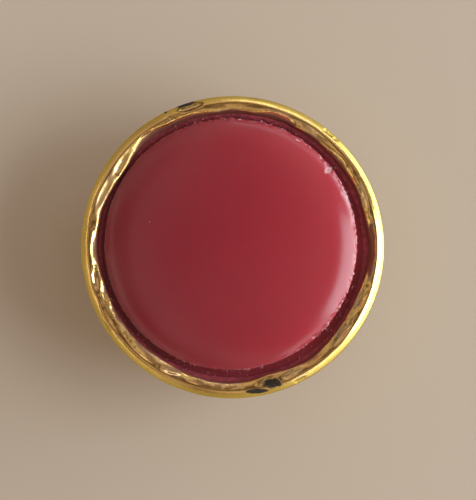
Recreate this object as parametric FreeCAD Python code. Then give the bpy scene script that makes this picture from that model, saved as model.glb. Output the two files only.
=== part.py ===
"""A sew-on shank button: a red domed insert held in a hammered gilt rim shell.

The shell is one formed sheet of brass. Its lip turns down over the flange of the insert,
a bead of cement fills the channel behind the lip, a pressed card disc packs the space behind
the insert, and the shell's skirt is crimped round the edge of a dished back plate. The shank
is a loop of brass wire. Its legs pass through a collet, the plate and a washer, and its
feet are bent outwards and hammered flat inside.

Frame: +Z points out of the button's face, and z = 0 is the lowest point of the wire loop,
where the cloth lies. X runs across the loop, and the thread passes through it along Y.
Millimetres.
"""

import FreeCAD, Part
import math
import os

# ---- overall sizes ----
button_diameter = 25.4          # 40 ligne, the largest outline of the shell
shank_reach = 4.4               # from the crimp's underside down to the lowest point of the loop

# ---- rim shell ----
shell_sheet = 0.45              # thickness of the brass sheet
outer_bevel_width = 0.55        # the bright chamfer round the outside of the crest
outer_bevel_drop = 0.32
crest_width = 0.65
inner_bevel_width = 0.35        # the chamfer that falls from the crest to the lip
inner_bevel_drop = 0.20
lip_depth = 0.60                # height of the lip's upright part
lip_rounding = 0.12             # between the lip and the inner bevel
crest_rounding = 0.40           # both edges of the crest
shoulder_rounding = 0.22        # where the outer bevel meets the skirt
channel_rounding = 0.10         # top corner of the channel behind the lip
edge_rounding = 0.06            # cut edges of the sheet
skirt_taper = 0.40              # how much narrower the skirt is at the back
skirt_corner = 1.10             # outside radius where the skirt turns into the crimp
crimp_width = 2.10              # how far the crimp reaches in from the largest outline

# ---- hammer marks on the crest, struck by hand ----
mark_angles = (19, 66, 106, 149, 199, 246, 288, 331)    # degrees round the rim
mark_depth = 0.13
mark_length = 4.2
mark_tilt = 14                  # degrees that each mark leans towards the insert

# ---- insert ----
groove_width = 0.50             # the gap seen between the insert and the lip
dome_rise = 1.62                # from the insert's arris up to its crown
dome_edge_slope = 36            # degrees below the level where the dome meets the arris
crown_level = 0.60              # how far the crown runs level, as a share of the insert's radius
shoulder_reach = 0.22           # how far the edge slope carries inwards, as a share of that radius
arris_height = 0.78             # from the flange's top up to the arris
flange_thickness = 1.00
insert_draft = 0.10             # the wall leans in by this much towards the flange
seat_clearance = 0.20           # round the flange, inside the skirt
core_radius = 6.20              # recess in the insert's underside
core_depth = 0.90

# ---- cement ----
cement_film = 0.12              # between the lip's edge and the flange
cement_squeeze = 0.20           # how far it stands out into the groove

# ---- packing and back plate ----
packing_thickness = 0.80
packing_hole_gap = 0.70         # round the feet of the loop
plate_sheet = 0.40
plate_dish = 0.38               # how far the plate's middle is pressed outwards
dish_shoulder = 0.60            # length of the slope round the dish
dish_gap = 0.12                 # between the crimp's edge and that slope
dish_rounding = 0.25            # both bends of the slope
stack_clearance = 0.02          # between loose discs

# ---- shank ----
wire_diameter = 1.10
eye_width = 3.20                # clear space between the legs
foot_length = 1.15              # straight part of each foot
foot_height = 0.62              # thickness left after the feet are hammered down
leg_clearance = 0.04            # round each leg in its holes
bend_gap = 0.06                 # inside radius of the bend at each foot
washer_thickness = 0.35
washer_margin = 0.85            # washer outside the holes of the legs
collet_thickness = 0.55
collet_margin = 1.15            # collet outside the holes of the legs
collet_rounding = 0.30

# ---- levels, from the cloth up ----
crimp_z = shank_reach
plate_z = crimp_z + shell_sheet
plate_top = plate_z + plate_sheet
packing_z = plate_top + stack_clearance
insert_z = packing_z + packing_thickness + stack_clearance
flange_top = insert_z + flange_thickness
lip_edge_z = flange_top + cement_film
lip_top_z = lip_edge_z + lip_depth
crest_z = lip_top_z + inner_bevel_drop
bevel_foot_z = crest_z - outer_bevel_drop
channel_top = bevel_foot_z - shell_sheet * outer_bevel_drop / outer_bevel_width
arris_z = flange_top + arris_height
crown_z = arris_z + dome_rise
dish_z = plate_z - plate_dish
dish_floor = dish_z + plate_sheet
washer_top = dish_floor + washer_thickness
collet_z = dish_z - collet_thickness


def skirt_outside(z):
    """Outside radius of the tapered skirt at a level, as if its lower corner were square."""
    return outer_radius - skirt_taper * (bevel_foot_z - z) / (bevel_foot_z - crimp_z)


def skirt_inside(z):
    """Inside radius of the skirt at a level, one sheet in from the outside."""
    lean = math.atan(skirt_taper / (bevel_foot_z - crimp_z))
    return skirt_outside(z) - shell_sheet / math.cos(lean)


# ---- radii ----
outer_radius = button_diameter / 2
crest_outside = outer_radius - outer_bevel_width
crest_inside = crest_outside - crest_width
lip_radius = crest_inside - inner_bevel_width
lip_back_radius = lip_radius + shell_sheet
crimp_radius = outer_radius - crimp_width
inner_corner = skirt_corner - shell_sheet
flange_radius = skirt_inside(insert_z) - seat_clearance
insert_radius = lip_radius - groove_width
insert_lean = (-0.6 * seat_clearance, 0.7 * seat_clearance)    # it sits a little off centre
plate_radius = skirt_inside(plate_z) - inner_corner - stack_clearance
shoulder_radius = crimp_radius - dish_gap
dish_radius = shoulder_radius - dish_shoulder
wire_radius = wire_diameter / 2
leg_x = eye_width / 2 + wire_radius
leg_hole_radius = wire_radius + leg_clearance
bend_radius = wire_radius + bend_gap
foot_end_x = leg_x + bend_radius + foot_length
packing_hole_radius = foot_end_x + packing_hole_gap
washer_radius = leg_x + leg_hole_radius + washer_margin
collet_radius = leg_x + leg_hole_radius + collet_margin


def point(radius, z):
    return FreeCAD.Vector(radius, 0, z)


def corner_arc(before, here, after, fillet):
    """Where a rounded corner starts, its middle and where it ends."""
    back = (before - here).normalize()
    ahead = (after - here).normalize()
    half = back.getAngle(ahead) / 2
    reach = fillet / math.tan(half)
    middle = here + (back + ahead).normalize() * (fillet / math.sin(half) - fillet)
    return here + back * reach, middle, here + ahead * reach


def outline_edges(corners):
    """Edges of a closed outline in the XZ plane. Each corner is (radius, z, fillet)."""
    spots = [point(radius, z) for radius, z, fillet in corners]
    turns = []
    for i, (radius, z, fillet) in enumerate(corners):
        if fillet > 0:
            turns.append(corner_arc(spots[i - 1], spots[i], spots[(i + 1) % len(spots)], fillet))
        else:
            turns.append((spots[i], spots[i], spots[i]))
    edges = []
    for i, (start, middle, end) in enumerate(turns):
        if start != end:
            edges.append(Part.Arc(start, middle, end).toShape())
        following = turns[(i + 1) % len(turns)][0]
        edges.append(Part.LineSegment(end, following).toShape())
    return edges


def turned(edges):
    """The solid made by turning a closed outline once round the Z axis."""
    face = Part.Face(Part.Wire(Part.__sortEdges__(edges)))
    return face.revolve(FreeCAD.Vector(0, 0, 0), FreeCAD.Vector(0, 0, 1), 360)


def leg_holes(z_low, z_high):
    """The two round holes that the legs of the loop pass through."""
    height = z_high - z_low
    left = Part.makeCylinder(leg_hole_radius, height, FreeCAD.Vector(-leg_x, 0, z_low))
    right = Part.makeCylinder(leg_hole_radius, height, FreeCAD.Vector(leg_x, 0, z_low))
    return left.fuse(right)


def hammer_mark(angle):
    """A large ball that bites mark_depth into the crest, leaning towards the insert."""
    ball_radius = (mark_length / 2) ** 2 / (2 * mark_depth)
    reach = ball_radius - mark_depth
    lean = math.radians(mark_tilt)
    centre = point(crest_inside - reach * math.sin(lean), crest_z + reach * math.cos(lean))
    ball = Part.makeSphere(ball_radius, centre)
    ball.rotate(FreeCAD.Vector(0, 0, 0), FreeCAD.Vector(0, 0, 1), angle)
    return ball


def make_rim_shell():
    """Formed sheet: lip, two bevels with the crest between them, skirt and crimp."""
    section = [
        (lip_radius, lip_edge_z, edge_rounding),
        (lip_radius, lip_top_z, lip_rounding),
        (crest_inside, crest_z, crest_rounding),
        (crest_outside, crest_z, crest_rounding),
        (outer_radius, bevel_foot_z, shoulder_rounding),
        (skirt_outside(crimp_z), crimp_z, skirt_corner),
        (crimp_radius, crimp_z, edge_rounding),
        (crimp_radius, plate_z, edge_rounding),
        (skirt_inside(plate_z), plate_z, inner_corner),
        (skirt_inside(channel_top), channel_top, channel_rounding),
        (lip_back_radius, channel_top, 0),
        (lip_back_radius, lip_edge_z, 0),
    ]
    shell = turned(outline_edges(section))
    for angle in mark_angles:
        shell = shell.cut(hammer_mark(angle))
    return shell


def make_domed_insert():
    """Stepped cabochon: a low dome with a crisp arris, over a flange with a cored underside."""
    slope = math.radians(dome_edge_slope)
    handle = shoulder_reach * insert_radius
    dome = Part.BezierCurve()
    dome.setPoles([
        point(0, crown_z),
        point(crown_level * insert_radius, crown_z),
        point(insert_radius - handle * math.cos(slope), arris_z + handle * math.sin(slope)),
        point(insert_radius, arris_z),
    ])
    outline = [
        point(insert_radius, arris_z),
        point(insert_radius - insert_draft, flange_top),
        point(flange_radius, flange_top),
        point(flange_radius, insert_z),
        point(core_radius, insert_z),
        point(core_radius, insert_z + core_depth),
        point(0, insert_z + core_depth),
        point(0, crown_z),
    ]
    edges = [Part.LineSegment(a, b).toShape() for a, b in zip(outline, outline[1:])]
    insert = turned([dome.toShape()] + edges)
    insert.translate(FreeCAD.Vector(*insert_lean, 0))
    return insert


def make_cement_bead():
    """Cement in the channel behind the lip, under its edge, and squeezed out into the groove."""
    section = [
        (lip_radius - cement_squeeze, flange_top, 0),
        (lip_radius + edge_rounding, lip_edge_z, 0),
        (lip_back_radius, lip_edge_z, 0),
        (lip_back_radius, channel_top, 0),
        (skirt_inside(channel_top), channel_top, channel_rounding),
        (skirt_inside(flange_top), flange_top, 0),
    ]
    return turned(outline_edges(section))


def make_packing_disc():
    """Card disc pressed into the dish of the back plate, with a hole for the loop's feet."""
    top = packing_z + packing_thickness
    dish_bottom = dish_floor + stack_clearance
    section = [
        (packing_hole_radius, dish_bottom, edge_rounding),
        (dish_radius - stack_clearance, dish_bottom, dish_rounding),
        (shoulder_radius - stack_clearance, packing_z, dish_rounding),
        (plate_radius, packing_z, edge_rounding),
        (plate_radius, top, edge_rounding),
        (packing_hole_radius, top, edge_rounding),
    ]
    return turned(outline_edges(section))


def make_back_plate():
    """Sheet plate with a flat edge under the crimp and a middle pressed outwards."""
    section = [
        (0, dish_z, 0),
        (dish_radius, dish_z, dish_rounding),
        (shoulder_radius, plate_z, dish_rounding),
        (plate_radius, plate_z, edge_rounding),
        (plate_radius, plate_top, edge_rounding),
        (shoulder_radius, plate_top, dish_rounding),
        (dish_radius, dish_floor, dish_rounding),
        (0, dish_floor, 0),
    ]
    return turned(outline_edges(section)).cut(leg_holes(dish_z, dish_floor))


def make_clench_washer():
    """Flat washer inside the plate, under the feet of the loop."""
    section = [
        (0, dish_floor, 0),
        (washer_radius, dish_floor, edge_rounding),
        (washer_radius, washer_top, edge_rounding),
        (0, washer_top, 0),
    ]
    return turned(outline_edges(section)).cut(leg_holes(dish_floor, washer_top))


def make_shank_collet():
    """Round-edged collar outside the plate, which steadies the legs of the loop."""
    section = [
        (0, collet_z, 0),
        (collet_radius, collet_z, collet_rounding),
        (collet_radius, dish_z, 0),
        (0, dish_z, 0),
    ]
    return turned(outline_edges(section)).cut(leg_holes(collet_z, dish_z))


def foot_bend(side):
    """Quarter turn from a leg to its foot. side is -1 for the left leg and 1 for the right."""
    foot_z = washer_top + wire_radius
    quarter = bend_radius * (1 - math.sqrt(0.5))
    return Part.Arc(
        point(side * leg_x, foot_z - bend_radius),
        point(side * (leg_x + quarter), foot_z - quarter),
        point(side * (leg_x + bend_radius), foot_z),
    )


def make_shank_loop():
    """Bent wire: foot, leg, half round, leg, foot, with the feet hammered flat."""
    foot_z = washer_top + wire_radius
    bend_z = foot_z - bend_radius
    arc_z = wire_radius + leg_x
    foot_start_x = leg_x + bend_radius
    path = [
        Part.LineSegment(point(-foot_end_x, foot_z), point(-foot_start_x, foot_z)),
        foot_bend(-1),
        Part.LineSegment(point(-leg_x, bend_z), point(-leg_x, arc_z)),
        Part.Arc(point(-leg_x, arc_z), point(0, wire_radius), point(leg_x, arc_z)),
        Part.LineSegment(point(leg_x, arc_z), point(leg_x, bend_z)),
        foot_bend(1),
        Part.LineSegment(point(foot_start_x, foot_z), point(foot_end_x, foot_z)),
    ]
    line = Part.Wire(Part.__sortEdges__([piece.toShape() for piece in path]))
    end = Part.Circle(point(-foot_end_x, foot_z), FreeCAD.Vector(1, 0, 0), wire_radius)
    wire = line.makePipeShell([Part.Wire([end.toShape()])], True, True)
    anvil = Part.makeBox(3 * foot_end_x, 3 * wire_diameter, wire_diameter)
    anvil.translate(
        FreeCAD.Vector(-1.5 * foot_end_x, -1.5 * wire_diameter, washer_top + foot_height)
    )
    return wire.cut(anvil)


pieces = {
    "rim_shell": make_rim_shell,
    "domed_insert": make_domed_insert,
    "cement_bead": make_cement_bead,
    "packing_disc": make_packing_disc,
    "back_plate": make_back_plate,
    "clench_washer": make_clench_washer,
    "shank_collet": make_shank_collet,
    "shank_loop": make_shank_loop,
}

os.makedirs("parts", exist_ok=True)
for name, make in pieces.items():
    solid = make()
    print(name, "valid", solid.isValid(), "solids", len(solid.Solids), "mm3", round(solid.Volume, 3))
    solid.exportStep(f"parts/{name}.step")
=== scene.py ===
"""The looks of a sew-on shank button: a hammered gilt rim round a red domed insert, closed at the
back by a crimped brass plate with a wire loop for the thread.

Metres, in the frame of the CAD model: +Z points out of the face, z = 0 is where the cloth lies,
X runs across the loop and the thread passes through it along Y.
"""

import math
import random

import bmesh
import bpy
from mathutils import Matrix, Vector
from mathutils.kdtree import KDTree


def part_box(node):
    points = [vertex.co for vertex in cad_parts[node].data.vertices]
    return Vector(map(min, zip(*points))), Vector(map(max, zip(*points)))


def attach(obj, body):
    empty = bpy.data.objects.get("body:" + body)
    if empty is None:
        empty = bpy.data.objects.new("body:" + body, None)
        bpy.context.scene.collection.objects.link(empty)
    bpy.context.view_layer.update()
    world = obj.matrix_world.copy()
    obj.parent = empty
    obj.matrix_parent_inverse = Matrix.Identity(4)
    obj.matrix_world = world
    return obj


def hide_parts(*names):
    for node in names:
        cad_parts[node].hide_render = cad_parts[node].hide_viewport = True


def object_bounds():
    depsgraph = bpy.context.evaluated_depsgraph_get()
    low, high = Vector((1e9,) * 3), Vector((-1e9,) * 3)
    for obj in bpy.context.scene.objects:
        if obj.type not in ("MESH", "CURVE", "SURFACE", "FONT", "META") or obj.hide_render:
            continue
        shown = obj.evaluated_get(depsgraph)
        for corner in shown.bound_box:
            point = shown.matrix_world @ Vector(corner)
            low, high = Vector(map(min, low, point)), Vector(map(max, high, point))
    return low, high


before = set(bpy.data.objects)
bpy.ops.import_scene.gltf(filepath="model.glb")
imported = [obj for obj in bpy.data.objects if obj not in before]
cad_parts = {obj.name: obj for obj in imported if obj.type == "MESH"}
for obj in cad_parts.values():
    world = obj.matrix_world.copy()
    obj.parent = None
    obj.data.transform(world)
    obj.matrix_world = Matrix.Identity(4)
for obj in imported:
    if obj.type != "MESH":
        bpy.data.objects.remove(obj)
cad_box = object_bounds()


# ---- rim shell ----
# One sheet of gilt brass formed in a die: a lip, a crest with a chamfer outside it, and a skirt
# whose edge is crimped over the back plate. The inner slope is struck by hand with a small hammer,
# and the rim is black in a few places, where at the bottom the gilding is worn through.
mm = 0.001
rim_low, rim_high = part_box("rim_shell")
cement_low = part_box("cement_bead")[0]
points_around = 600
section_step = 0.055 * mm
sheet = 0.45 * mm
lip_radius = rim_high.x - 1.55 * mm
crimp_radius = rim_high.x - 2.10 * mm
flange_top = cement_low.z
lip_edge_z = flange_top + 0.12 * mm
crimp_z = rim_low.z
skirt_slope = -97  # just past straight down, so that the skirt narrows towards the back
corner_radius = 0.95 * mm


def walk(start, heading, runs):
    """A smooth outline of (radius, z) points from start. Each run is a length and a turn.

    Heading 0 is outwards and 90 is up. A turn, in degrees, is spread evenly over its run.
    """
    path = [start]
    for length, turn in runs:
        longest = section_step if turn else 4 * section_step
        steps = max(1, round(length / longest))
        for i in range(steps):
            angle = math.radians(heading + turn * (i + 0.5) / steps)
            radius, z = path[-1]
            step = length / steps
            path.append((radius + step * math.cos(angle), z + step * math.sin(angle)))
        heading += turn
    return path


def start_loop(name, radius, z):
    """A circle of points, picked and in edit mode. The rest of a turned piece is drawn from it."""
    bpy.ops.object.select_all(action="DESELECT")
    bpy.ops.mesh.primitive_circle_add(vertices=points_around, radius=radius, location=(0, 0, z))
    piece = bpy.context.object
    piece.name = name
    bpy.ops.object.transform_apply(location=True, rotation=False, scale=False)
    bpy.ops.object.mode_set(mode="EDIT")
    bpy.ops.mesh.select_all(action="SELECT")
    return piece


def draw_on(path):
    """Extrudes the picked circle along a path of (radius, z). The first point is where it lies."""
    for (radius, z), (next_radius, next_z) in zip(path, path[1:]):
        bpy.ops.mesh.extrude_region_move(TRANSFORM_OT_translate={"value": (0, 0, next_z - z)})
        ratio = next_radius / radius
        bpy.ops.transform.resize(value=(ratio, ratio, 1), center_override=(0, 0, 0))


def radius_of(place):
    return math.hypot(place.x, place.y)


def angle_of(place):
    return math.degrees(math.atan2(place.y, place.x)) % 360


def on_rim(angle, radius, z):
    turn = math.radians(angle)
    return Vector((radius * math.cos(turn), radius * math.sin(turn), z))


def pick(piece, test):
    """Picks the points of the piece whose place passes the test, and nothing else."""
    bpy.ops.mesh.select_all(action="DESELECT")
    mesh = bmesh.from_edit_mesh(piece.data)
    for vertex in mesh.verts:
        vertex.select = test(vertex.co)
    mesh.select_flush(True)
    bmesh.update_edit_mesh(piece.data)


def nearest_points(piece, places):
    """Picks the points of the piece nearest to each place, and nothing else."""
    bpy.ops.mesh.select_all(action="DESELECT")
    mesh = bmesh.from_edit_mesh(piece.data)
    mesh.verts.ensure_lookup_table()
    tree = KDTree(len(mesh.verts))
    for vertex in mesh.verts:
        tree.insert(vertex.co, vertex.index)
    tree.balance()
    for place in places:
        mesh.verts[tree.find(place)[1]].select = True
    bmesh.update_edit_mesh(piece.data)


def press(piece, places, move, reach, falloff="SMOOTH"):
    """Moves the points nearest to the places, and what lies within reach along with them."""
    nearest_points(piece, places)
    bpy.ops.transform.translate(
        value=move,
        use_proportional_edit=True,
        proportional_edit_falloff=falloff,
        proportional_size=reach,
    )


def lean(piece, places, outward, reach):
    """Moves the points nearest to the places away from the axis, and what lies within reach."""
    nearest_points(piece, places)
    ratio = 1 + outward / radius_of(places[0])
    bpy.ops.transform.resize(
        value=(ratio, ratio, 1),
        center_override=(0, 0, 0),
        use_proportional_edit=True,
        proportional_edit_falloff="SMOOTH",
        proportional_size=reach,
    )


def row(start, end, start_radius, end_radius, z):
    """Places about every degree along an arc whose radius changes evenly from start to end."""
    count = max(1, round(end - start))
    shares = [i / count for i in range(count + 1)]
    return [
        on_rim(start + (end - start) * share, start_radius + (end_radius - start_radius) * share, z)
        for share in shares
    ]


def middle_of(places, share):
    """The middle part of a row. A share of 1 is all of it."""
    cut = round(len(places) * (1 - share) / 2)
    return places[cut : len(places) - cut]


def roughen(piece, test, grain, depth):
    """Pushes the points that pass the test in and out by cloud noise of that grain."""
    pick(piece, test)
    group = piece.vertex_groups.new(name="rough")
    piece.vertex_groups.active_index = group.index
    bpy.ops.object.vertex_group_assign()
    bpy.ops.object.mode_set(mode="OBJECT")
    clouds = bpy.data.textures.new("lumps", "CLOUDS")
    clouds.noise_scale = grain
    clouds.noise_depth = 1
    lumps = piece.modifiers.new("lumps", "DISPLACE")
    lumps.texture = clouds
    lumps.texture_coords = "LOCAL"
    lumps.vertex_group = "rough"
    lumps.strength = depth
    lumps.mid_level = 0.5
    bpy.ops.object.modifier_apply(modifier="lumps")
    piece.vertex_groups.clear()
    bpy.ops.object.mode_set(mode="EDIT")


def finish_mesh(piece):
    """Joins doubled points, turns the faces outwards, smooths the shading and leaves edit mode."""
    bpy.ops.mesh.select_all(action="SELECT")
    bpy.ops.mesh.remove_doubles(threshold=0.001 * mm)
    bpy.ops.mesh.normals_make_consistent(inside=False)
    bpy.ops.object.mode_set(mode="OBJECT")
    bpy.ops.object.shade_smooth_by_angle(angle=math.radians(60))


face = walk(
    (lip_radius, lip_edge_z),
    90,
    [
        (0.34 * mm, 0),  # up the lip
        (0.24 * mm, -52),  # round its top
        (0.16 * mm, -14),
        (0.46 * mm, -17),  # up the inner slope
        (0.24 * mm, -7),
        (0.10 * mm, -26),  # over the crest
        (0.56 * mm, -8),  # down the chamfer
        (0.17 * mm, -63),  # and round into the skirt
    ],
)
shoulder_radius, shoulder_z = face[-1]
crest_z = max(z for radius, z in face)
crest_radius = max(face, key=lambda spot: spot[1])[0]
corner_turn = -180 - skirt_slope
corner_drop = corner_radius * (1 + math.cos(math.radians(skirt_slope)))
skirt_length = (shoulder_z - corner_drop - crimp_z) / math.sin(math.radians(-skirt_slope))
corner_length = corner_radius * math.radians(-corner_turn)
skirt = walk(face[-1], skirt_slope, [(skirt_length, 0), (corner_length, corner_turn)])
flat_length = skirt[-1][0] - crimp_radius
crimp_edge = [(0.12 * mm, -90), (0.30 * mm, 0), (0.12 * mm, -90)]
crimp = walk(skirt[-1], 180, [(flat_length, 0), *crimp_edge])
inside_z = crimp[-1][1]
rim_inside = [
    crimp[-1],
    (skirt[-1][0], inside_z),
    (skirt[-1][0] + 0.4 * mm, inside_z + 0.5 * mm),
    (shoulder_radius - sheet, shoulder_z - 0.3 * mm),
    (lip_radius + sheet, shoulder_z - 0.3 * mm),
    (lip_radius + sheet, lip_edge_z),
    (lip_radius, lip_edge_z),
]
rim = start_loop("hammered_rim", *face[0])
draw_on(face + skirt[1:] + crimp[1:] + rim_inside[1:])
bpy.ops.mesh.select_all(action="SELECT")
bpy.ops.mesh.remove_doubles(threshold=0.001 * mm)

# The inner slope and the crimp are uneven all round. The chamfer and the skirt keep their shape.
roughen(
    rim,
    lambda p: p.z > lip_edge_z + 0.2 * mm and radius_of(p) < crest_radius - 0.12 * mm,
    1.8 * mm,
    0.20 * mm,
)
bpy.ops.mesh.vertices_smooth(factor=0.5, repeat=6)
roughen(
    rim,
    lambda p: p.z < crimp_z + 0.3 * mm and radius_of(p) < crest_radius,
    0.8 * mm,
    0.05 * mm,
)

# Where the lip leans outwards: first and last angle, and how far in mm.
lip_leans = [
    (-17, 13, 0.38),
    (14, 33, 0.32),
    (32, 48, 0.16),
    (48, 61, 0.20),
    (60, 78, 0.32),
    (76, 102, 0.28),
    (100, 121, 0.36),
    (117, 138, 0.46),
    (140, 153, -0.10),
    (155, 168, 0.14),
    (164, 190, 0.26),
    (228, 246, -0.04),
    (248, 280, 0.30),
    (283, 290, -0.10),
    (294, 316, 0.26),
]
for start, end, outward in lip_leans:
    places = row(start, end, lip_radius, lip_radius, lip_edge_z + 0.45 * mm)
    for share in (0.25, 0.5, 0.75, 1):
        lean(rim, middle_of(places, share), outward / 4 * mm, 0.9 * mm)

# Hammer marks: first and last angle, how far down the slope from the crest to the lip the mark
# starts and ends, and its depth and reach in mm.
hammer_marks = [
    (-14, 11, 0.80, 0.65, 0.15, 0.55),
    (15, 28, 0.60, 0.30, 0.14, 0.45),
    (33, 46, 0.60, 0.90, 0.12, 0.50),
    (50, 60, 0.50, 0.30, 0.07, 0.50),
    (62, 77, 0.50, 0.75, 0.18, 0.45),
    (81, 99, 0.30, 0.45, 0.07, 0.50),
    (103.5, 110.5, -0.22, -0.22, 0.24, 0.40),
    (113, 117, 0.15, -0.05, 0.09, 0.32),
    (120, 137, 0.70, 0.50, 0.16, 0.55),
    (141, 150, 0.40, 0.75, 0.14, 0.42),
    (153, 164, 0.55, 0.20, 0.12, 0.50),
    (168, 174, 0.15, 0.40, 0.08, 0.36),
    (132, 168, 0.80, 0.80, -0.07, 0.36),
    (176, 187, 0.75, 0.85, 0.17, 0.50),
    (188, 199, 0.50, 0.10, 0.14, 0.40),
    (197, 206, 0.85, 0.55, 0.12, 0.42),
    (205, 219, 0.10, 0.40, 0.12, 0.42),
    (206, 218, 0.95, 0.85, 0.10, 0.45),
    (220, 232, 0.75, 0.50, 0.12, 0.48),
    (239, 248, 0.30, 0.70, 0.18, 0.42),
    (252, 273, 0.40, 0.30, 0.09, 0.55),
    (280, 287, 0.35, 0.60, 0.12, 0.42),
    (290, 298, 0.20, 0.50, 0.16, 0.40),
    (284, 289, 0.95, 0.95, -0.06, 0.36),
    (301, 313, 0.70, 0.55, 0.14, 0.50),
    (316, 328, 0.30, 0.50, 0.12, 0.48),
    (330, 344, 0.65, 0.25, 0.17, 0.42),
]

def on_slope(down):
    """Radius at a share of the way from the crest to the lip."""
    return crest_radius + down * (lip_radius - crest_radius)


for start, end, down, end_down, depth, reach in hammer_marks:
    places = row(start, end, on_slope(down), on_slope(end_down), crest_z)
    sink = Vector((0, 0, -depth / 3 * mm))
    for share in (0.3, 0.65, 1):
        press(rim, middle_of(places, share), sink, reach * (1.2 - 0.3 * share) * mm)

# Nicks in the chamfer: angle, and depth in mm.
nicks = [(47, 0.05), (50, 0.07), (173, 0.07), (213, 0.08), (297, 0.09), (340, 0.04), (356, 0.03)]
chamfer_radius = shoulder_radius - 0.15 * mm
chamfer_z = shoulder_z + 0.2 * mm
for angle, depth in nicks:
    places = row(angle - 1, angle + 1, chamfer_radius, chamfer_radius, chamfer_z)
    press(rim, places, on_rim(angle, -0.7 * depth * mm, -0.4 * depth * mm), 0.28 * mm)
finish_mesh(rim)


class Value:
    """An output of a node. Arithmetic on it adds Math nodes to the same finish."""

    def __init__(self, finish, socket):
        self.finish = finish
        self.socket = socket

    def math(self, operation, *values):
        inputs = dict(enumerate(values))
        return self.finish.node("ShaderNodeMath", {"operation": operation}, inputs)

    def __add__(self, other):
        return self.math("ADD", self, other)

    def __radd__(self, other):
        return self.math("ADD", other, self)

    def __sub__(self, other):
        return self.math("SUBTRACT", self, other)

    def __rsub__(self, other):
        return self.math("SUBTRACT", other, self)

    def __mul__(self, other):
        return self.math("MULTIPLY", self, other)

    def __rmul__(self, other):
        return self.math("MULTIPLY", other, self)

    def __abs__(self):
        return self.math("ABSOLUTE", self)

    def at_least(self, other):
        return self.math("MAXIMUM", self, other)


class Nodes:
    """A node tree, and the place its patterns are laid out in."""

    def __init__(self, tree, coordinates):
        self.tree = tree
        self.place = self.node("ShaderNodeTexCoord", output=coordinates)

    def node(self, kind, settings=None, inputs=None, output=0):
        """Adds a node. Settings are set first, a ramp's stops among them, then its inputs."""
        added = self.tree.nodes.new(kind)
        for name, setting in (settings or {}).items():
            if name == "stops":
                elements = added.color_ramp.elements
                while len(elements) < len(setting):
                    elements.new(1)
                for element, (position, color) in zip(elements, setting):
                    element.position = position
                    element.color = (*color, 1)
            else:
                setattr(added, name, setting)
        for name, value in (inputs or {}).items():
            self.feed(added.inputs[name], value)
        return Value(self, added.outputs[output])

    def feed(self, socket, value):
        if isinstance(value, Value):
            self.tree.links.new(value.socket, socket)
        elif socket.type == "RGBA" and len(value) == 3:
            socket.default_value = (*value, 1)
        else:
            socket.default_value = value

    def vector(self, operation, *values, output=0):
        inputs = dict(enumerate(values))
        return self.node("ShaderNodeVectorMath", {"operation": operation}, inputs, output)

    def part(self, place, axis):
        """The X, Y or Z part of a place."""
        return self.node("ShaderNodeSeparateXYZ", {}, {0: place}, axis)

    def out_from(self, centre):
        """Distance from an upright axis through the centre."""
        flat = self.vector("MULTIPLY", self.vector("SUBTRACT", self.place, centre), (1, 1, 0))
        return self.vector("LENGTH", flat, output="Value")

    def noise(self, grain, detail=3.0, roughness=0.5, place=None):
        """Noise whose lumps are about one grain across."""
        inputs = {
            "Vector": place or self.place,
            "Scale": 1 / grain,
            "Detail": detail,
            "Roughness": roughness,
        }
        return self.node("ShaderNodeTexNoise", {}, inputs)

    def streaks(self, grain, times_longer, detail=2.0):
        """Noise drawn out along circles about the axis."""
        heading = self.vector("NORMALIZE", self.vector("MULTIPLY", self.place, (1, 1, 0)))
        inputs = {0: heading, "Scale": lip_radius / times_longer}
        around = self.node("ShaderNodeVectorMath", {"operation": "SCALE"}, inputs)
        along = self.out_from((0, 0, 0)) + self.part(self.place, "Z")
        section = self.node("ShaderNodeCombineXYZ", {}, {"Z": along})
        return self.noise(grain, detail, place=self.vector("ADD", around, section))

    def rise(self, value, low, high):
        """0 below low, 1 above high, smooth between."""
        inputs = {"Value": value, "From Min": low, "From Max": high}
        return self.node("ShaderNodeMapRange", {"interpolation_type": "SMOOTHSTEP"}, inputs)

    def mix(self, share, first, second):
        """Colours from first to second as share goes from 0 to 1."""
        inputs = {0: share, 6: first, 7: second}
        return self.node("ShaderNodeMix", {"data_type": "RGBA"}, inputs, 2)


class Finish(Nodes):
    """The node tree of one material."""

    def __init__(self, name, **constants):
        self.material = bpy.data.materials.new(name)
        self.material.use_nodes = True
        super().__init__(self.material.node_tree, "Object")
        self.shader = self.tree.nodes["Principled BSDF"]
        self.shade(**constants)

    def shade(self, **values):
        """Sets inputs of the shader: Base_Color=... and so on."""
        for name, value in values.items():
            self.feed(self.shader.inputs[name.replace("_", " ")], value)

    def spot(self, place, turn, half_across, half_along, ragged=0.0, grain=0.3 * mm):
        """1 inside an oval spot at a place, turned by an angle in degrees, 0 outside it.

        Its edge is made ragged by noise of that grain.
        """
        inputs = {
            "Vector": self.place,
            "Location": place,
            "Rotation": (0, 0, math.radians(turn)),
            "Scale": (half_across, half_along, 0.8 * mm),
        }
        nearby = self.node("ShaderNodeMapping", {"vector_type": "TEXTURE"}, inputs)
        away = self.vector("LENGTH", nearby, output="Value")
        if ragged:
            away = away + (self.noise(grain, 5.0, 0.7) - 0.5) * ragged
        return 1 - self.rise(away, 0.85, 1.05)

    def bump(self, height, depth):
        """Feeds the shader's normal with a height that reaches depth, in metres, at 1."""
        inputs = {"Height": height, "Distance": depth, "Strength": 1.0}
        self.shade(Normal=self.node("ShaderNodeBump", {}, inputs))


def paint(piece, finish):
    """Gives the whole piece one finish."""
    piece.data.materials.clear()
    piece.data.materials.append(finish.material)


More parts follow.
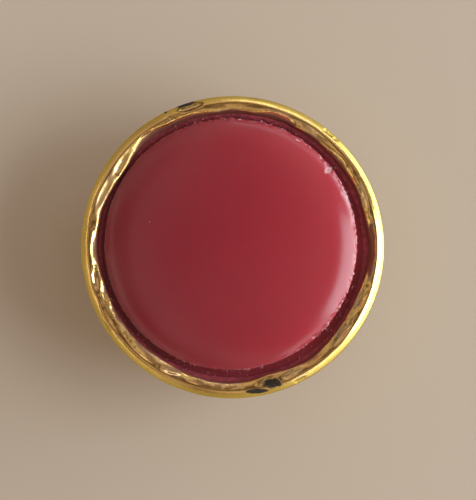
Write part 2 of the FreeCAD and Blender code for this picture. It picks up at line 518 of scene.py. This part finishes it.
gilt = Finish("gilt_brass", Metallic=1.0, IOR=1.5)
gold = (1.0, 0.71, 0.24)
dull_gold = (0.93, 0.59, 0.23)
bright_brass = (1.0, 0.70, 0.34)
handled_gold = (0.74, 0.56, 0.115)
black_stain = (0.034, 0.022, 0.016)
grey_fleck = (0.17, 0.13, 0.11)
# The next colour is cement film, and partly a painted reflection of the red insert.
cement_film_and_reflection = (0.21, 0.045, 0.055)
# The next colour is painted shade, for the walls of the dent at the top.
painted_dent_shade = (0.17, 0.08, 0.03)


def gilt_spot(angle, radius, z, half_across, half_along, ragged=0.0, grain=0.3, turn=None):
    """A spot on the rim. Its sizes and its place along the radius are in mm."""
    place = on_rim(angle, radius * mm, z)
    turn = angle if turn is None else turn
    return gilt.spot(place, turn, half_across * mm, half_along * mm, ragged, grain * mm)


# The gilding is worn through to black at the bottom. Two black specks lie at the top, on the outer
# edge.
stains = gilt_spot(286, 11.90, crest_z, 0.42, 0.90, 1.6, 0.5, turn=276)
stains = stains.at_least(gilt_spot(279.5, 12.28, crest_z, 0.20, 1.0, 1.3, 0.4, turn=274))
stains = stains.at_least(gilt_spot(108, 12.60, shoulder_z, 0.20, 0.85, 1.0))
stains = stains.at_least(gilt_spot(116.5, 12.66, shoulder_z, 0.12, 0.16, turn=116))
flecks = gilt.rise(gilt.noise(0.14 * mm, 2.0), 0.58, 0.70)

# Painted shade: a brown ring all round the oval dent at the top darkens its walls.
dent_shade_ring = gilt_spot(107, 12.28, crest_z, 0.37, 1.30, 0.4)
dent_shade_ring = dent_shade_ring * (1 - gilt_spot(107, 12.28, crest_z, 0.23, 1.02, 0.4))

# Where the gilding is rubbed to bright brass: angle, how far down the slope from the crest to the
# lip, and half width and length in mm.
rubbed = [
    (22, 0.35, 0.35, 1.2),
    (55, 0.35, 0.38, 1.2),
    (69, 0.20, 0.30, 1.6),
    (107, -0.25, 0.22, 0.9),
    (148, 0.45, 0.34, 1.4),
    (160, 0.40, 0.40, 1.3),
    (194, 0.30, 0.36, 1.3),
    (236, 0.70, 0.40, 1.5),
    (245, 0.45, 0.42, 1.1),
    (263, 0.55, 0.36, 2.4),
    (287, 0.95, 0.12, 0.35),
    (294, 0.45, 0.40, 0.9),
    (322, 0.40, 0.36, 1.5),
    (338, 0.90, 0.20, 1.4),
]
rubbing = gilt.rise(gilt.noise(1.4 * mm), 0.60, 0.72)
for angle, down, half_across, half_along in rubbed:
    spot = gilt_spot(
        angle, on_slope(down) / mm, crest_z - 0.1 * mm, half_across, half_along, 1.0, 0.5
    )
    rubbing = rubbing.at_least(spot)

# A film of the cement has crept up the lip, and further in two places. Its maroon is partly a
# painted reflection of the red insert in the lip.
from_axis = gilt.out_from((0, 0, 0))
film_and_reflection_level = gilt.part(gilt.place, "Z") + (gilt.noise(0.4 * mm) - 0.5) * (0.20 * mm)
film_and_reflection = 1 - gilt.rise(film_and_reflection_level, lip_edge_z + 0.48 * mm, lip_edge_z + 0.62 * mm)
film_and_reflection = film_and_reflection * (1 - gilt.rise(from_axis, lip_radius + 0.60 * mm, lip_radius + 0.80 * mm))
film_and_reflection = film_and_reflection.at_least(gilt_spot(358, 11.58, crest_z, 0.36, 2.6, 0.8, 0.5))
film_and_reflection = film_and_reflection.at_least(gilt_spot(69, 11.40, crest_z, 0.26, 1.5, 0.8, 0.5))
film_and_reflection = film_and_reflection * gilt.rise(film_and_reflection_level, flange_top - 0.5 * mm, flange_top - 0.3 * mm)

# Handling has left the chamfer and the skirt a little dull. Two stretches of the slope are matt.
satin = gilt.rise(from_axis, crest_radius + 0.15 * mm, crest_radius + 0.45 * mm)
matt = gilt_spot(138, 11.50, crest_z, 0.55, 2.4, 0.6, 0.5)
matt = matt.at_least(gilt_spot(158, 11.50, crest_z, 0.50, 2.2, 0.6, 0.5))

tint = gilt.rise(gilt.streaks(0.5 * mm, 8), 0.35, 0.65)
metal = gilt.mix(rubbing, gilt.mix(tint, dull_gold, gold), bright_brass)
metal = gilt.mix(satin * 0.85, metal, handled_gold)
# Painted shade round the dent at the top.
metal = gilt.mix(dent_shade_ring * 0.85, metal, painted_dent_shade)
# The film's maroon is partly a painted reflection of the red insert.
metal = gilt.mix(film_and_reflection * 0.9, metal, cement_film_and_reflection)
covered = stains.at_least(film_and_reflection)
cloudy = gilt.rise(gilt.noise(0.5 * mm), 0.45, 0.8)
gilt.shade(
    Base_Color=gilt.mix(stains, metal, gilt.mix(flecks, black_stain, grey_fleck)),
    Roughness=0.13 + cloudy * 0.08 + satin * 0.17 + matt * 0.24 + covered * 0.30,
    Metallic=1 - covered * 0.75,
)
gilt.bump(gilt.streaks(0.22 * mm, 16) * 0.7 + gilt.noise(0.6 * mm, 2.0) * 0.5, 0.012 * mm)
paint(rim, gilt)
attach(rim, "root")
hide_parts("rim_shell")


# ---- insert ----
# The red centre, moulded in one piece of satin plastic: a low dome over a stepped flange, which the
# lip of the rim traps. Its arris is sharp and a little chipped, and it sits slightly off centre.
insert_low, insert_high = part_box("domed_insert")
insert_centre = (insert_low + insert_high) / 2 + Vector((-0.02 * mm, 0.06 * mm, 0))
insert_centre.z = 0
flange_radius = (insert_high.x - insert_low.x) / 2
insert_radius = lip_radius - 0.56 * mm
arris_z = insert_high.z - 1.62 * mm
core_radius = 6.2 * mm
core_z = insert_low.z + 0.90 * mm
pole_radius = 0.05 * mm
ball_share = 0.62
edge_power = 9
dome_loops = 44


def dome_level(radius):
    """Level of the dome: part of a large ball, rolled off to about 33 degrees at the arris."""
    share = radius / insert_radius
    fall = ball_share * share**2 + (1 - ball_share) * share**edge_power
    return arris_z + (insert_high.z - arris_z) * (1 - fall)


dome = []
for i in range(1, dome_loops + 1):
    radius = insert_radius + (pole_radius - insert_radius) * (i / dome_loops) ** 1.6
    dome.append((radius, dome_level(radius)))
wall_length = arris_z - flange_top
wall_lean = 0.08 * mm
wall = [
    (insert_radius - wall_lean * (1 - i / 8), flange_top + wall_length * i / 8) for i in range(9)
]
insert_section = [
    (pole_radius, core_z),
    (core_radius, core_z),
    (core_radius, insert_low.z),
    (flange_radius, insert_low.z),
    (flange_radius, flange_top),
    (lip_radius + 0.2 * mm, flange_top),
    *wall,
    *dome,
]
insert = start_loop("red_cabochon", *insert_section[0])
draw_on(insert_section)
for level in (core_z, insert_high.z):
    pick(insert, lambda p: radius_of(p) < 1.1 * pole_radius and abs(p.z - level) < 0.001 * mm)
    bpy.ops.mesh.merge(type="CENTER")


def near_arris(place, reach):
    """Whether a place is within reach of the arris, across and up."""
    return abs(radius_of(place) - insert_radius) < reach and abs(place.z - arris_z) < reach


# The mould's flash is broken off roughly along the arris, except on the left.
roughen(
    insert,
    lambda p: near_arris(p, 0.16 * mm) and not 120 < angle_of(p) < 235,
    0.22 * mm,
    0.16 * mm,
)
roughen(insert, lambda p: near_arris(p, 0.30 * mm), 0.9 * mm, 0.05 * mm)

# Chips out of the arris: angle, how far in from it, depth and reach in mm.
chips = [
    (37, 0.36, 0.16, 0.34),
    (36, 0.12, 0.10, 0.25),
    (50, 0.05, 0.10, 0.20),
    (57, 0.20, 0.05, 0.25),
    (20, 0.10, 0.08, 0.30),
    (24, 0.20, 0.06, 0.30),
    (28, 0.15, 0.07, 0.25),
    (318, 0.08, 0.10, 0.30),
    (305, 0.05, 0.09, 0.25),
]
for angle, inward, depth, reach in chips:
    place = on_rim(angle, insert_radius - inward * mm, arris_z + inward * 0.6 * mm)
    press(insert, [place], Vector((0, 0, -depth * mm)), reach * mm, "SHARP")
pick(insert, lambda p: near_arris(p, 0.03 * mm))
bpy.ops.mesh.bevel(offset=0.04 * mm, segments=2)
bpy.ops.mesh.select_all(action="SELECT")
bpy.ops.transform.translate(value=insert_centre)
finish_mesh(insert)

red = Finish("satin_red_plastic", IOR=1.60, Subsurface_Weight=1.0, Subsurface_Scale=0.003)
red.shade(Subsurface_Radius=(1.0, 0.25, 0.25))
# The first two reds are painted shade and painted light, for the dark and the lit side of the dome.
shaded_red = (0.345, 0.030, 0.051)
lit_red = (0.460, 0.036, 0.058)
wall_red = (0.36, 0.030, 0.050)
pale_break = (0.66, 0.34, 0.36)
# Fresh breaks: angle, how far in from the arris, half width across and along in mm.
break_places = [
    (37, 0.42, 0.40, 0.24),
    (57, 0.22, 0.10, 0.26),
    (50.5, 0.02, 0.10, 0.14),
    (86, 0.02, 0.12, 0.16),
    (22, 0.16, 0.14, 0.9),
]
pale_speck = Vector((-6.9 * mm, 1.9 * mm, insert_high.z))
breaks = red.spot(pale_speck, 0, 0.06 * mm, 0.06 * mm)
for angle, inward, half_across, half_along in break_places:
    place = on_rim(angle, insert_radius - inward * mm, arris_z) + insert_centre
    spot = red.spot(place, angle, half_across * mm, half_along * mm, 1.8, 0.2 * mm)
    breaks = breaks.at_least(spot)
from_middle = red.out_from(insert_centre)
level = red.part(red.place, "Z")
on_arris = red.rise(from_middle, insert_radius - 0.12 * mm, insert_radius + 0.02 * mm)
on_arris = on_arris * red.rise(level, arris_z - 0.16 * mm, arris_z - 0.02 * mm)
crumbled = on_arris * red.rise(red.noise(0.35 * mm, 3.0), 0.46, 0.60)
below = 1 - red.rise(level, flange_top + 0.05 * mm, arris_z - 0.25 * mm)
# Painted light: the red is a little lighter towards +X, the side the windows light, and darker
# towards -X as painted shade.
sideways = red.part(red.place, "X") + (red.noise(4 * mm) - 0.5) * (6 * mm)
body = red.mix(red.rise(sideways, -insert_radius, insert_radius), shaded_red, lit_red)
body = red.mix(below * 0.8, body, wall_red)
red.shade(
    Base_Color=red.mix(breaks.at_least(crumbled * 0.5), body, pale_break),
    Roughness=0.21 + breaks * 0.35,
)
paint(insert, red)
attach(insert, "root")
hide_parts("domed_insert")


# ---- cement ----
# Dark cement in the channel behind the lip, squeezed out in lumps into the groove, with crumbs of
# the broken flash stuck in it.
cement_back = shoulder_radius - sheet - 0.1 * mm
cement_section = [
    (lip_radius - 0.20 * mm, flange_top),
    (lip_radius - 0.10 * mm, flange_top + 0.06 * mm),
    (lip_radius + 0.05 * mm, lip_edge_z - 0.01 * mm),
    (lip_radius + sheet, lip_edge_z - 0.01 * mm),
    (cement_back, lip_edge_z),
    (cement_back, flange_top),
    (lip_radius - 0.20 * mm, flange_top),
]
cement = start_loop("cement_squeeze", *cement_section[0])
draw_on(cement_section)
bpy.ops.mesh.select_all(action="SELECT")
bpy.ops.mesh.remove_doubles(threshold=0.001 * mm)
roughen(
    cement,
    lambda p: radius_of(p) < lip_radius + 0.1 * mm and p.z > flange_top + 0.01 * mm,
    0.5 * mm,
    0.12 * mm,
)
finish_mesh(cement)

# One crumb is modelled at a radius of 1. The rest are copies of it, each at its own size and turn.
bpy.ops.object.select_all(action="DESELECT")
bpy.ops.mesh.primitive_ico_sphere_add(subdivisions=1, radius=1.0, location=(0, 0, 0))
crumb = bpy.context.object
bpy.ops.object.mode_set(mode="EDIT")
bpy.ops.mesh.select_all(action="SELECT")
bpy.ops.transform.vertex_random(offset=0.30, uniform=1.0, normal=0.0, seed=4)
bpy.ops.mesh.bevel(offset=0.12, segments=1, affect="VERTICES")
bpy.ops.mesh.normals_make_consistent(inside=False)
bpy.ops.object.mode_set(mode="OBJECT")

rng = random.Random(7)
crumbs = []
# Crumbs lie in the groove and flakes cling to the arris: first and last angle, and how many.
crumb_arcs = [(58, 118, 56), (200, 345, 74), (0, 58, 12)]
flake_arcs = [(12, 112, 60), (238, 345, 52)]
for arcs, nearest, farthest, lowest, highest in [
    (crumb_arcs, 0.10, 0.60, flange_top, flange_top + 0.6 * mm),
    (flake_arcs, -0.03, 0.07, arris_z - 0.14 * mm, arris_z - 0.02 * mm),
]:
    for start, end, count in arcs:
        for i in range(count):
            angle = rng.uniform(start, end)
            radius = insert_radius + rng.uniform(nearest, farthest) * mm
            place = on_rim(angle, radius, rng.uniform(lowest, highest)) + insert_centre
            turned = (rng.uniform(0, 6), rng.uniform(0, 6), rng.uniform(0, 6))
            size = rng.uniform(0.035, 0.12) * mm
            stretch = (rng.uniform(0.8, 1.8), rng.uniform(0.6, 1.0), rng.uniform(0.3, 0.8))
            another = crumb.copy()
            another.data = crumb.data.copy()
            another.location = place
            another.rotation_euler = turned
            another.scale = Vector(stretch) * size
            bpy.context.scene.collection.objects.link(another)
            crumbs.append(another)
bpy.data.objects.remove(crumb)
bpy.ops.object.select_all(action="DESELECT")
for another in crumbs:
    another.select_set(True)
bpy.context.view_layer.objects.active = crumbs[0]
bpy.ops.object.join()
crumbs = bpy.context.object
crumbs.name = "groove_crumbs"
bpy.ops.object.transform_apply(location=True, rotation=True, scale=True)

maroon = Finish("maroon_cement", IOR=1.5)
dark_cement = (0.32, 0.045, 0.070)
light_cement = (0.50, 0.075, 0.100)
lumpy = maroon.rise(maroon.noise(0.4 * mm), 0.4, 0.7)
maroon.shade(
    Base_Color=maroon.mix(lumpy, dark_cement, light_cement),
    Roughness=0.35 + maroon.noise(0.2 * mm) * 0.3,
)
paint(cement, maroon)
crumb_red = Finish("crumb_plastic", IOR=1.5)
dark_crumb = (0.26, 0.035, 0.055)
pale_crumb = (0.46, 0.15, 0.18)
broken = crumb_red.rise(crumb_red.noise(0.5 * mm), 0.42, 0.60)
crumb_red.shade(
    Base_Color=crumb_red.mix(broken, dark_crumb, pale_crumb),
    Roughness=0.4 + crumb_red.noise(0.2 * mm) * 0.2,
)
paint(crumbs, crumb_red)
for piece in (cement, crumbs):
    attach(piece, "root")
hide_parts("cement_bead")


# ---- packing disc ----
# A disc of grey card, punched out and pressed in behind the insert so that its flange bears on the
# lip. It is closed inside the button.
card = Finish("grey_card", Roughness=0.9)
card.shade(Base_Color=card.mix(card.noise(0.3 * mm, 5.0), (0.30, 0.26, 0.21), (0.42, 0.37, 0.30)))
paint(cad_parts["packing_disc"], card)


# ---- clench washer ----
# A punched steel washer inside the back plate, under the bent feet of the wire loop. It spreads
# their pull over the thin plate.
steel = Finish("washer_steel", Metallic=1.0, Base_Color=(0.56, 0.56, 0.57))
steel.shade(Roughness=0.3 + steel.noise(0.4 * mm) * 0.2)
paint(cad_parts["clench_washer"], steel)


# ---- back plate and collet ----
# A dished disc of plain brass, held by the crimp of the rim shell, and the small turned collet that
# guides the legs of the loop. Both show fine rings, tarnish, and grime in their corners.
fresh_brass = (0.82, 0.60, 0.27)
tarnished = (0.60, 0.41, 0.18)
grime = (0.13, 0.08, 0.04)
collet_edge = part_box("shank_collet")[1].x + 0.05 * mm

turned_brass = Finish("turned_brass", Metallic=1.0)
from_axis = turned_brass.out_from((0, 0, 0))
tarnish = turned_brass.rise(turned_brass.noise(1.3 * mm, 5.0, 0.65), 0.42, 0.66)
at_crimp = turned_brass.rise(from_axis, crimp_radius - 0.9 * mm, crimp_radius)
at_collet = 1 - turned_brass.rise(abs(from_axis - collet_edge), 0.02 * mm, 0.45 * mm)
patchy = turned_brass.rise(turned_brass.noise(0.5 * mm), 0.25, 0.60)
dirt = at_crimp.at_least(at_collet) * patchy
brass = turned_brass.mix(tarnish, fresh_brass, tarnished)
turned_brass.shade(
    Base_Color=turned_brass.mix(dirt * 0.85, brass, grime),
    Roughness=0.24 + tarnish * 0.18 + dirt * 0.30,
    Metallic=1 - dirt * 0.4,
)
turned_brass.bump(turned_brass.streaks(0.10 * mm, 60), 0.008 * mm)
for name in ("back_plate", "shank_collet"):
    paint(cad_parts[name], turned_brass)


# ---- wire loop ----
# A loop of drawn brass wire. Its legs pass through the collet, the plate and the washer, and its
# feet are clenched inside. Thread and cloth have rubbed its lowest part bright.
wire_brass = Finish("drawn_wire", Metallic=1.0)
rub = 1 - wire_brass.rise(wire_brass.part(wire_brass.place, "Z"), 0.7 * mm, 2.4 * mm)
tarnish = wire_brass.rise(wire_brass.noise(0.9 * mm, 4.0, 0.6), 0.40, 0.68) * (1 - rub * 0.8)
wire_brass.shade(
    Base_Color=wire_brass.mix(tarnish, fresh_brass, tarnished),
    Roughness=0.20 + tarnish * 0.22,
)
wire_brass.bump(wire_brass.noise(0.15 * mm), 0.004 * mm)
paint(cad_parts["shank_loop"], wire_brass)


# ---- floor, light and camera ----
# A plain pale tabletop, daylight from windows on the right, thin warm lines of light from the left
# and the front, and a camera that looks almost straight down on the face.
floor_size = 0.6
bpy.ops.object.select_all(action="DESELECT")
bpy.ops.mesh.primitive_plane_add(size=floor_size, location=(0, 0, 0))
floor = bpy.context.object
floor.name = "floor"
tan = Finish("pale_floor", Roughness=0.9, Base_Color=(0.645, 0.545, 0.435))
paint(floor, tan)

look_at = (cad_box[0] + cad_box[1]) / 2


def soft_light(name, azimuth, elevation, distance, size, brightness, color):
    """A rectangle that looks that bright and faces the button. Azimuth 0 is +X, 90 is +Y."""
    side, up = math.radians(azimuth), math.radians(elevation)
    direction = Vector((math.cos(side) * math.cos(up), math.sin(side) * math.cos(up), math.sin(up)))
    light = bpy.data.lights.new(name, "AREA")
    light.shape = "RECTANGLE"
    light.size, light.size_y = size
    light.energy = brightness * math.pi * size[0] * size[1]
    light.color = color
    holder = bpy.data.objects.new(name, light)
    holder.location = look_at + direction * distance
    holder.rotation_euler = direction.to_track_quat("Z", "Y").to_euler()
    bpy.context.scene.collection.objects.link(holder)


day = (0.86, 0.94, 1.0)
warm = (1.0, 0.84, 0.60)
soft_light("window", -6, 31, 0.60, (0.44, 0.36), 4.5, day)
soft_light("low_window", 15, 14, 0.60, (0.66, 0.20), 6.0, day)
soft_light("window_end", -44, 30, 0.40, (0.24, 0.07), 1.9, day)
soft_light("side_strip", 62, 25, 0.45, (0.46, 0.028), 2.8, day)
soft_light("wall_line", 195, 34, 0.45, (0.80, 0.024), 1.2, warm)
soft_light("shelf_line", 265, 22, 0.45, (0.40, 0.030), 1.2, warm)

# The room: warm, darker on the left and overhead, with soft patches of furniture and wall.
world = bpy.data.worlds.new("room")
bpy.context.scene.world = world
world.use_nodes = True
room = Nodes(world.node_tree, "Generated")
height = room.part(room.place, "Z")
across = room.part(room.place, "X")
patches = room.rise(room.noise(0.5, 1.5), 0.38, 0.62)
open_side = 0.36 + room.rise(across, -1.0, 1.0) * 0.04
overhead = room.rise(height, 0.92, 0.985)
strength = open_side * (0.45 + patches * 0.9) * (1 - overhead * 0.45)
background = world.node_tree.nodes["Background"]
room.feed(background.inputs["Strength"], strength)
room.feed(background.inputs["Color"], room.mix(patches, (1.0, 0.72, 0.54), (1.0, 0.84, 0.70)))

camera_data = bpy.data.cameras.new("camera")
camera_data.sensor_width = 36
camera_distance = 0.19
view_height = 41.78 * mm
camera_data.lens = 36 * camera_distance / view_height
camera_data.clip_start = 0.01
camera = bpy.data.objects.new("camera", camera_data)
tilt = math.radians(5)
camera_aim = Vector((0.46 * mm, -0.34 * mm, crest_z))
camera.location = camera_aim + Vector((0, -math.sin(tilt), math.cos(tilt))) * camera_distance
camera.rotation_euler = (tilt, 0, 0)
bpy.context.scene.collection.objects.link(camera)
bpy.context.scene.camera = camera
bpy.context.scene.view_settings.view_transform = "Standard"
